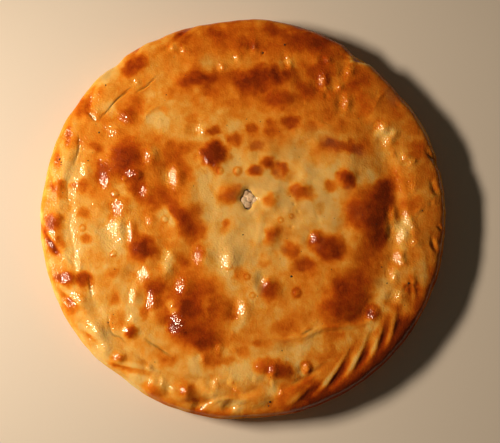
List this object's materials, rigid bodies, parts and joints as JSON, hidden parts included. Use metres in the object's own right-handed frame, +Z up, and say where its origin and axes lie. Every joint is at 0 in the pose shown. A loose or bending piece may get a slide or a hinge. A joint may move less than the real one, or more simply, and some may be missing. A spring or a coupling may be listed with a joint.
{
  "type": "round meat pie",
  "caption": "Round closed meat pie, a chudu: browned, blistered and glossy lid with a small steam vent over the filling, and a thick hand-crimped rim.",
  "frame": {"origin": "middle of the flat underside, on the surface the pie lies on", "axes": "+Z up through the lid, +Y towards the far side as pictured, +X to the right as pictured"},
  "size_m": [0.3002, 0.299, 0.0314],
  "materials": {
    "crust": null,
    "filling": null
  },
  "bodies": {
    "root": {"crust": "crust", "filling": "filling"}
  },
  "joints": []
}
